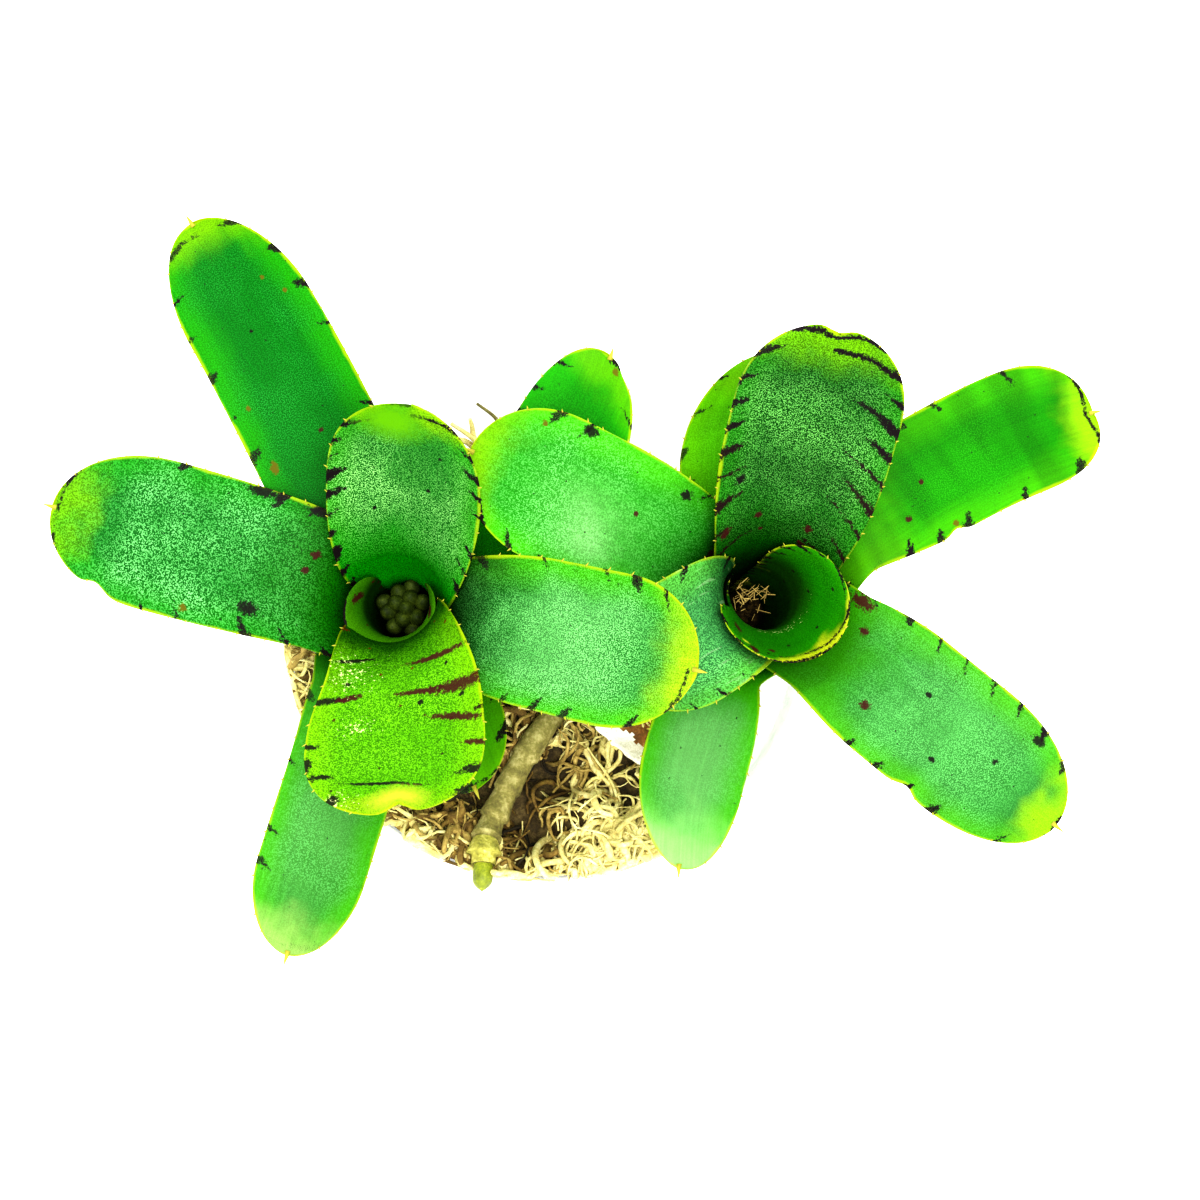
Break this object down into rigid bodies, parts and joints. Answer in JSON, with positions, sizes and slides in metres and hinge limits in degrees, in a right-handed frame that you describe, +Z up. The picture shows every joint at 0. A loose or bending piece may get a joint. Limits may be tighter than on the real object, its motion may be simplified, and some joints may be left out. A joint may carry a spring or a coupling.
{
  "type": "potted neoregelia bromeliad",
  "caption": "Neoregelia bromeliad: rosettes of spiny strap leaves round water cups, rooted in dry curly moss in a round white plastic pot.",
  "frame": {"origin": "centre of the pot's underside, on the surface that the pot stands on", "axes": "+Z up along the pot's axis; +X from the pot's axis towards the right-hand rosette, the way the plant is longest; +Y away from the side where the stolon crosses the rim"},
  "size_m": [0.2946, 0.2057, 0.2354],
  "materials": {
    "pot_plastic": "moulded white polypropylene, satin",
    "dry_moss": "dry curly straw-coloured moss and bark fibre, matt",
    "stem": "woody stem with old leaf scars, matt",
    "leaf": "leathery green strap leaf with fine white scurf, yellow margin and maroon bars, satin",
    "flower_bud": "olive flower buds, waxy",
    "spent_flower": "dried brown flower stubs, matt",
    "stolon": "tan woody runner with papery bracts and a yellow-green bud, matt",
    "root": "wiry aerial root, matt",
    "withered_leaf": "withered papery leaf, tan and brown, matt"
  },
  "bodies": {
    "root": {"pot": "pot_plastic", "moss": "dry_moss", "stem_left": "stem", "stem_right": "stem", "flower_buds_left": "flower_bud", "spent_flowers_right": "spent_flower", "stolon": "stolon", "aerial_root": "root", "dead_leaf_left": "withered_leaf", "dead_leaf_right": "withered_leaf", "leaf_left_1": "leaf", "leaf_left_2": "leaf", "leaf_left_3": "leaf", "leaf_left_4": "leaf", "leaf_left_5": "leaf", "leaf_left_6": "leaf", "leaf_left_7": "leaf", "leaf_left_8": "leaf", "leaf_left_9": "leaf", "leaf_right_1": "leaf", "leaf_right_2": "leaf", "leaf_right_3": "leaf", "leaf_right_4": "leaf", "leaf_right_5": "leaf", "leaf_right_6": "leaf", "leaf_right_7": "leaf", "leaf_right_8": "leaf"}
  },
  "joints": []
}
